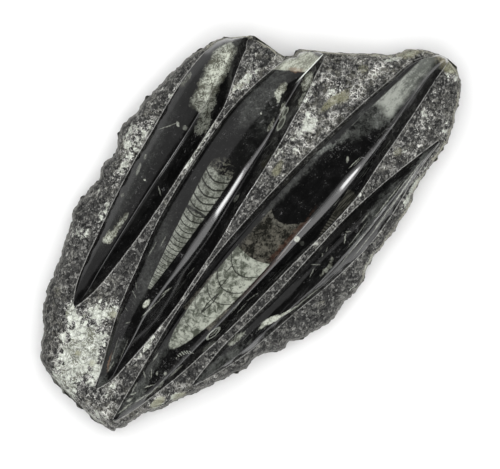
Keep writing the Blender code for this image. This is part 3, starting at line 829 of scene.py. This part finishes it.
# a small screw-shaped shell and an oval one near the tip
along, across, _ = wide_blade.wobbly.placed((-78, -31), turn=-32).xyz()
across = across + 0.07 * along * along - 0.8
in_screw = (abs(across) + (along / 5.8) ** 2).rising(1.1, 0.9)
whorl = (along + 0.5 * across) / 1.35
whorl = abs(whorl.math("FRACT", whorl + 20) - 0.5).rising(0.12, 0.34)
wide_blade.paint(in_screw, whorl.paint((0.2, 0.21, 0.185), (0.012, 0.012, 0.01)))
oval = abs(wide_blade.wobbly.placed((-59, -35.2), (4.8, 1.5), -6).distance() - 0.9).rising(0.24, 0.1)
wide_blade.paint(0.75 * oval, (0.36, 0.38, 0.33))

# the small ribbed shell low on the side
along = x_mm - 20
across = y_mm + 42.6 - 0.075 * along
in_ribbed = (abs(across) / (0.4 + 0.1 * along.most(0))).rising(1.05, 0.9)
in_ribbed = in_ribbed * along.rising(0, 0.5) * (along + 0.1 * across * across).rising(30.5, 29.5)
ribs = 0.55 * along + 0.2 * across
ribs = abs(ribs.math("FRACT", ribs) - 0.5).rising(0.1, 0.4) * along.rising(15, 11)
grooves = stretched(wide_blade.point, 0.12).noise(0.9, 2).rising(0.45, 0.65)
ribs = ribs + grooves * along.rising(11, 15)
wide_blade.paint(in_ribbed, ribs.paint((0.018, 0.018, 0.014), (0.072, 0.07, 0.058)))
wide_blade.marks((
    (10.1, -34.8, 1.5, 1.5, 0, 0.75), (10.3, -38.3, 1.3, 1.2, 0, 0.08),
    (61, -26, 1.8, 0.7, 35, 0.5), (39.5, -37.4, 3, 0.2, 0, 0.2), (-66, -38, 4.6, 0.9, -8, 0.16),
    (-58.5, -35.2, 2.6, 0.5, -6, 0.4), (-40, -34.8, 4, 0.3, 4, 0.3), (-38, -37.4, 4, 0.22, 0, 0.3),
    (-30, -37.6, 4, 0.22, -14, 0.3), (-113, -24.8, 1.8, 0.5, -25, 0.4),
    (-117, -25.4, 1.8, 0.6, -10, 0.4), (62, -30, 4, 0.22, -3, 0.45),
    (-98, -24.6, 2.4, 0.3, 40, 0.4), (-104, -28.4, 2.8, 0.3, -30, 0.45),
    (-90, -20.4, 3.4, 0.3, 8, 0.3), (64, -31, 3, 0.18, -3, 0.3), (-122, -26.6, 5, 0.4, -10, 0.4),
    (-112, -29.6, 4, 0.4, -16, 0.35), (-106, -31.6, 6, 0.4, -6, 0.35),
    (-99, -32.6, 2.6, 0.7, 10, 0.35), (-96, -27, 1.2, 0.5, 40, 0.4), (-88, -33.8, 5, 0.4, -5, 0.35),
    (-110, -22.8, 3, 0.4, 15, 0.3), (-93, -30.4, 1, 0.8, 0, 0.45), (-101, -22, 2.2, 0.35, 60, 0.3)))
wide_blade_stone = wide_blade.done(0.03)

# ------------------------------------------------------------------------------
# The long blade shows a slender orthocone with many close septa, a body chamber of black stone,
# and a block of calcite at the broad end with rust along its edge.

long_blade = BlackStone("polished_long_blade")
x_mm, y_mm = long_blade.x, long_blade.y
mottle, specks, clouds = long_blade.mottle, long_blade.specks, long_blade.clouds
long_blade.striated((
    (46, 10.5, 22, 3.4, 13, 0.8), (72, 17.5, 14, 3, 16, 0.8), (-70, -6, 26, 2.4, 4, 0.4)))

# the slender shell, measured from its tip along its own axis
along, across, _ = long_blade.point.placed((-64.5, 7.4), turn=10.6).xyz()
half = 0.9 + 0.125 * along - 0.0005 * along * along
arc = along - 0.06 * across * across + 1.3 * (mottle - 0.5)
in_shell = (abs(across) / half + 0.25 * (mottle - 0.5)).rising(1.04, 0.94) * along.rising(-0.5, 1)
# the septa lie farther apart as the shell widens: their count grows with the logarithm
widened = 1 + 0.0458 * arc.most(0)
count = widened.math("LOGARITHM", widened, 2.71828) / 0.055
between = abs(count.math("FRACT", count) - 0.5)
spar = (0.5 * mottle + 0.3 * clouds + 0.2 * specks).rising(0.4, 0.6)
spar = spar.paint((0.05, 0.053, 0.043), (0.3, 0.315, 0.272))
spar = (0.7 * (0.6 * specks + 0.4 * mottle).rising(0.5, 0.6)).paint(spar, (0.03, 0.031, 0.025))
spar = (0.92 * between.rising(0.37, 0.43)).paint(spar, (0.012, 0.012, 0.01))
cracked = abs(along - 49.8 + 2.5 * (specks - 0.5)).rising(1.1, 0.5)
spar = (0.9 * cracked).paint(spar, grey(0.012))
mud = (0.7 * mottle + 0.3 * specks).rising(0.46, 0.6).paint(grey(0.006), (0.085, 0.085, 0.068))
spar = (along - 6 * (mottle - 0.5)).rising(73, 75.5).paint(spar, mud)
shell_end = (along + 0.1 * across * across + 8 * (mottle - 0.5)).rising(85.5, 81)
long_blade.paint(in_shell * shell_end, spar)

long_blade.haze((
    (-104, -3.4, 12, 2.6, 12, 0.1), (-120, -8, 5, 2, 10, 0.2), (58, 32, 22, 6, 4, 0.12),
    (-50, 17, 26, 4, 22, 0.1), (30, 20, 20, 5, 14, 0.015), (50, 22, 12, 5, 14, 0.06)))
long_blade.calcite((
    (78.4, 18.9, 5.2, 2.6, 22, 0.9), (69, 14.6, 5, 1, 16, 0.5), (64.8, 26.6, 4.4, 2, 2, 0.95),
    (60.5, 24.4, 2.2, 1.2, 40, 0.7), (57, 18.4, 5, 1.2, 26, 0.55),
    (47, 17.6, 4, 1, 20, 0.45)), long_blade.rough)

# the block of calcite, cut off along a slanting crack, and the rust beside it
block = (0.803 * x_mm + 0.596 * y_mm + 1.2 * (mottle - 0.5)).rising(78.7, 79.4)
block = block * x_mm.rising(93.5, 90.5) * y_mm.rising(22.5, 22.9)
streaky = stretched(long_blade.point, 0.45).noise(2.4, 4, 0.6)
block_tone = (0.6 * streaky + 0.4 * specks).rising(0.4, 0.6)
long_blade.paint(0.95 * block, block_tone.paint((0.2, 0.205, 0.165), (0.5, 0.52, 0.44)))
rust = spots(long_blade.rough, (
    (78.6, 27.8, 3.6, 1.3, -53, 0.8), (-109, -3.2, 4.6, 0.5, 28, 0.7)), 0.6)
long_blade.paint(0.55 * rust, (0.26, 0.15, 0.09))
long_blade.marks((
    (-71.4, 3, 2.6, 1.35, 4, 0.9), (4.5, 5, 2.4, 0.8, 10, 0.2), (48, 26, 0.6, 0.6, 0, 0.6),
    (-73, -0.4, 5, 0.35, -4, 0.4), (-59, -0.6, 3.4, 0.35, -10, 0.45), (-64, -1, 7, 0.22, -2, 0.25),
    (-42, -3.4, 3, 0.3, 0, 0.15), (-47, 20.6, 4.6, 0.3, 12, 0.25), (-40, 19, 3, 0.35, 14, 0.3),
    (-68, 13.5, 2, 0.4, 50, 0.2), (-72, 11.5, 2.4, 0.25, 70, 0.25), (-103, -1.6, 8, 0.2, 25, 0.28),
    (-99, -5, 6, 0.2, 20, 0.22), (-110, -5.6, 3, 0.4, 10, 0.4), (-86, 3.6, 1.4, 0.3, -30, 0.25),
    (-77, 14.5, 1.2, 0.3, 60, 0.25), (-81, 9, 1.4, 0.25, 80, 0.25)))

# two shells cut across, which show as rings, and a painted highlight along the sharp ridge between
# calcite and stone
for at_x, at_y, size in ((51.5, 14.3, (4.4, 1.3)), (57.5, 16.6, (3, 1))):
    ring = long_blade.wobbly.placed((at_x, at_y), size, 14).distance()
    long_blade.paint(0.6 * ring.rising(1.1, 0.9), (0.075, 0.078, 0.064))
    long_blade.paint(0.7 * abs(ring - 0.9).rising(0.26, 0.1), (0.3, 0.32, 0.27))
# a thin light line painted along the ridge stands in for the glint on its sharp edge: a painted
# highlight
painted_ridge_highlight = abs(y_mm + 0.025 * (x_mm - 79) - 22.85).rising(0.45, 0.15) * x_mm.rising(72, 80)
long_blade.paint(painted_ridge_highlight, (0.62, 0.64, 0.6))
long_blade_stone = long_blade.done(0.03)

# ------------------------------------------------------------------------------
# The high blade: a mass of calcite near its broad end and small shells scattered along it.

high_blade = BlackStone("polished_high_blade")
high_blade.haze(((56, 62, 18, 5, 8, 0.12), (-20, 54, 44, 3.4, 14, 0.05)))
high_blade.calcite((
    (51, 60.5, 13.5, 5.8, 14, 1), (40, 57.5, 10.5, 5.4, 20, 0.85), (58, 62.5, 7, 4.6, 0, 1),
    (32, 54, 7, 6.5, 45, 0.55), (24, 46.5, 8.5, 3.6, 20, 0.38), (34, 69, 4.5, 1.4, 6, 0.45),
    (-46, 43.4, 5, 1.3, 8, 0.5), (-57.2, 42.4, 5.4, 2.3, -4, 1), (-50.5, 43, 5, 1.5, 4, 0.6)))
high_blade.marks((
    (-51.5, 43, 6.4, 0.5, 4, 0.35), (-19.5, 55.6, 3.4, 0.8, 24, 0.3),
    (-12, 57.4, 1.5, 0.6, 35, 0.3), (-36, 52.6, 1.2, 1, 0, 0.2), (-20.6, 39, 2.6, 0.35, 58, 0.4),
    (14.2, 51.6, 1.3, 1.3, 0, 0.25), (13.3, 56, 1.6, 0.8, 60, 0.5),
    (8.6, 59.4, 5.4, 0.25, -29, 0.4), (-21.6, 49, 0.6, 0.6, 0, 0.7)))
high_blade_stone = high_blade.done(0.02, 0.4)

# Every face of a blade gets the blade's own stone, and all others the chiselled one
for stone in (chiselled, low_blade_stone, wide_blade_stone, long_blade_stone, high_blade_stone):
    slab_mesh.materials.append(stone)
stone_of_face = np.zeros((count_rows - 1, count_columns - 1), dtype=np.int32)
for n in range(4):
    stone_of_face[np.ix_(blade_of_row == n, standing[n][:-1] & standing[n][1:])] = n + 1
stone_of_face = np.concatenate([stone_of_face.ravel(),
                                np.zeros(len(slab_mesh.polygons) - stone_of_face.size, np.int32)])
slab_mesh.polygons.foreach_set("material_index", stone_of_face)

# ------------------------------------------------------------------------------
# The studio: a wide white board that the plate lies on, and soft lamps over it. Two rings of lamps
# light it evenly from above, and white cards are there only to be mirrored in the polished blades.

board_mesh = bpy.data.meshes.new("floor")
board_mesh.from_pydata([(-6, -6, 0), (6, -6, 0), (6, 6, 0), (-6, 6, 0)], [], [(0, 1, 2, 3)])
board = added("floor", board_mesh)
board_white, board_point = new_material("floor")
finish(board_point, Base_Color=grey(0.9), Roughness=1, Specular_IOR_Level=0)
board_mesh.materials.append(board_white)

world = bpy.data.worlds.new("studio")
bpy.context.scene.world = world
world.use_nodes = True
sky = world.node_tree.nodes["Background"]
sky.inputs["Color"].default_value = (1, 1, 1, 1)
sky.inputs["Strength"].default_value = 0.03

RINGS = ((6, 0.62, 1.35, 3.1), (8, 1.05, 1.2, 2.6))  # lamps, radius, height and watts of each


def lamp(name, place, target, size, watts, glossy=True, diffuse=True):
    """A rectangular lamp at a place that faces its target, unseen by the camera. With glossy off
    nothing mirrors it, and with diffuse off it only shows where it is mirrored."""
    data = bpy.data.lights.new(name, "AREA")
    data.shape = "RECTANGLE"
    data.size, data.size_y = size
    data.energy = watts
    stand = added(name, data)
    stand.location = place
    stand.rotation_euler = (Vector(target) - Vector(place)).to_track_quat("-Z", "Y").to_euler()
    stand.visible_glossy = glossy
    stand.visible_diffuse = diffuse
    stand.visible_camera = False
    return stand


for count, radius, height, watts in RINGS:
    for k in range(count):
        way = 2 * np.pi * (k + 0.5) / count
        ring_place = (radius * np.cos(way), radius * np.sin(way), height)
        lamp("ring_%d_%d" % (count, k), ring_place, (0, 0, 0), (0.6, 0.6), watts, glossy=False)
lamp("side_card", (0, 1.15, 0.62), (0, 0, 0.02), (2.2, 1.5), 6.5, diffuse=False)


def reflected(name, place, angle, far, size, watts, spread=180):
    """A card seen in the rounded lower shoulders: at an angle from upright towards -Y, this far
    from a place on the stone. Its size is along X and across, and it shines within its spread."""
    slant = np.radians(angle)
    at = (place[0], place[1] - far * np.sin(slant), place[2] + far * np.cos(slant))
    card = lamp(name, at, place, size, watts, diffuse=False)
    card.data.spread = np.radians(spread)


OVER_PLATE = (0, 0, 0.03)
reflected("soft_card_high", OVER_PLATE, 22, 1.1, (1.6, 0.14), 0.7)
reflected("soft_card_mid", OVER_PLATE, 31, 1.1, (1.6, 0.19), 2.4)
reflected("soft_card", OVER_PLATE, 53.5, 1.1, (1.6, 0.68), 12.6)
reflected("core_middle_blade", (0.0575, -0.0345, 0.035), 46, 0.06, (0.014, 0.022), 0.0012, 44)
reflected("core_next_blade", (0.009, 0.0088, 0.035), 46, 0.06, (0.03, 0.04), 0.0068, 52)

# The camera looks straight down from this many metres, turned about the upright so that the blades
# rise to the right. Its scale holds at the height of the plate's middle.
DISTANCE, SCALE_HEIGHT, SENSOR = 3, 0.022, 36
TURN = np.radians(-48)
VIEW_WIDTH, MM_PER_PIXEL = 500, 0.55
VIEW_MIDDLE = (249.5, 234)  # the pixel in the middle of the view
ORIGIN_PIXEL = (237.17, 210.09)  # the pixel that the plate's origin falls on

camera_data = bpy.data.cameras.new("camera")
camera_data.sensor_width = SENSOR
camera_data.lens = SENSOR * DISTANCE / (VIEW_WIDTH * MM_PER_PIXEL * MM) * (1 - SCALE_HEIGHT / DISTANCE)
camera = added("camera", camera_data)
right, up = VIEW_MIDDLE[0] - ORIGIN_PIXEL[0], ORIGIN_PIXEL[1] - VIEW_MIDDLE[1]
along = (right * np.cos(TURN) - up * np.sin(TURN)) * MM_PER_PIXEL
across = (right * np.sin(TURN) + up * np.cos(TURN)) * MM_PER_PIXEL
camera.location = (along * MM, across * MM, DISTANCE)
camera.rotation_euler = (0, 0, TURN)
camera_data.clip_end = 20
bpy.context.scene.camera = camera
bpy.context.scene.view_settings.view_transform = "Standard"
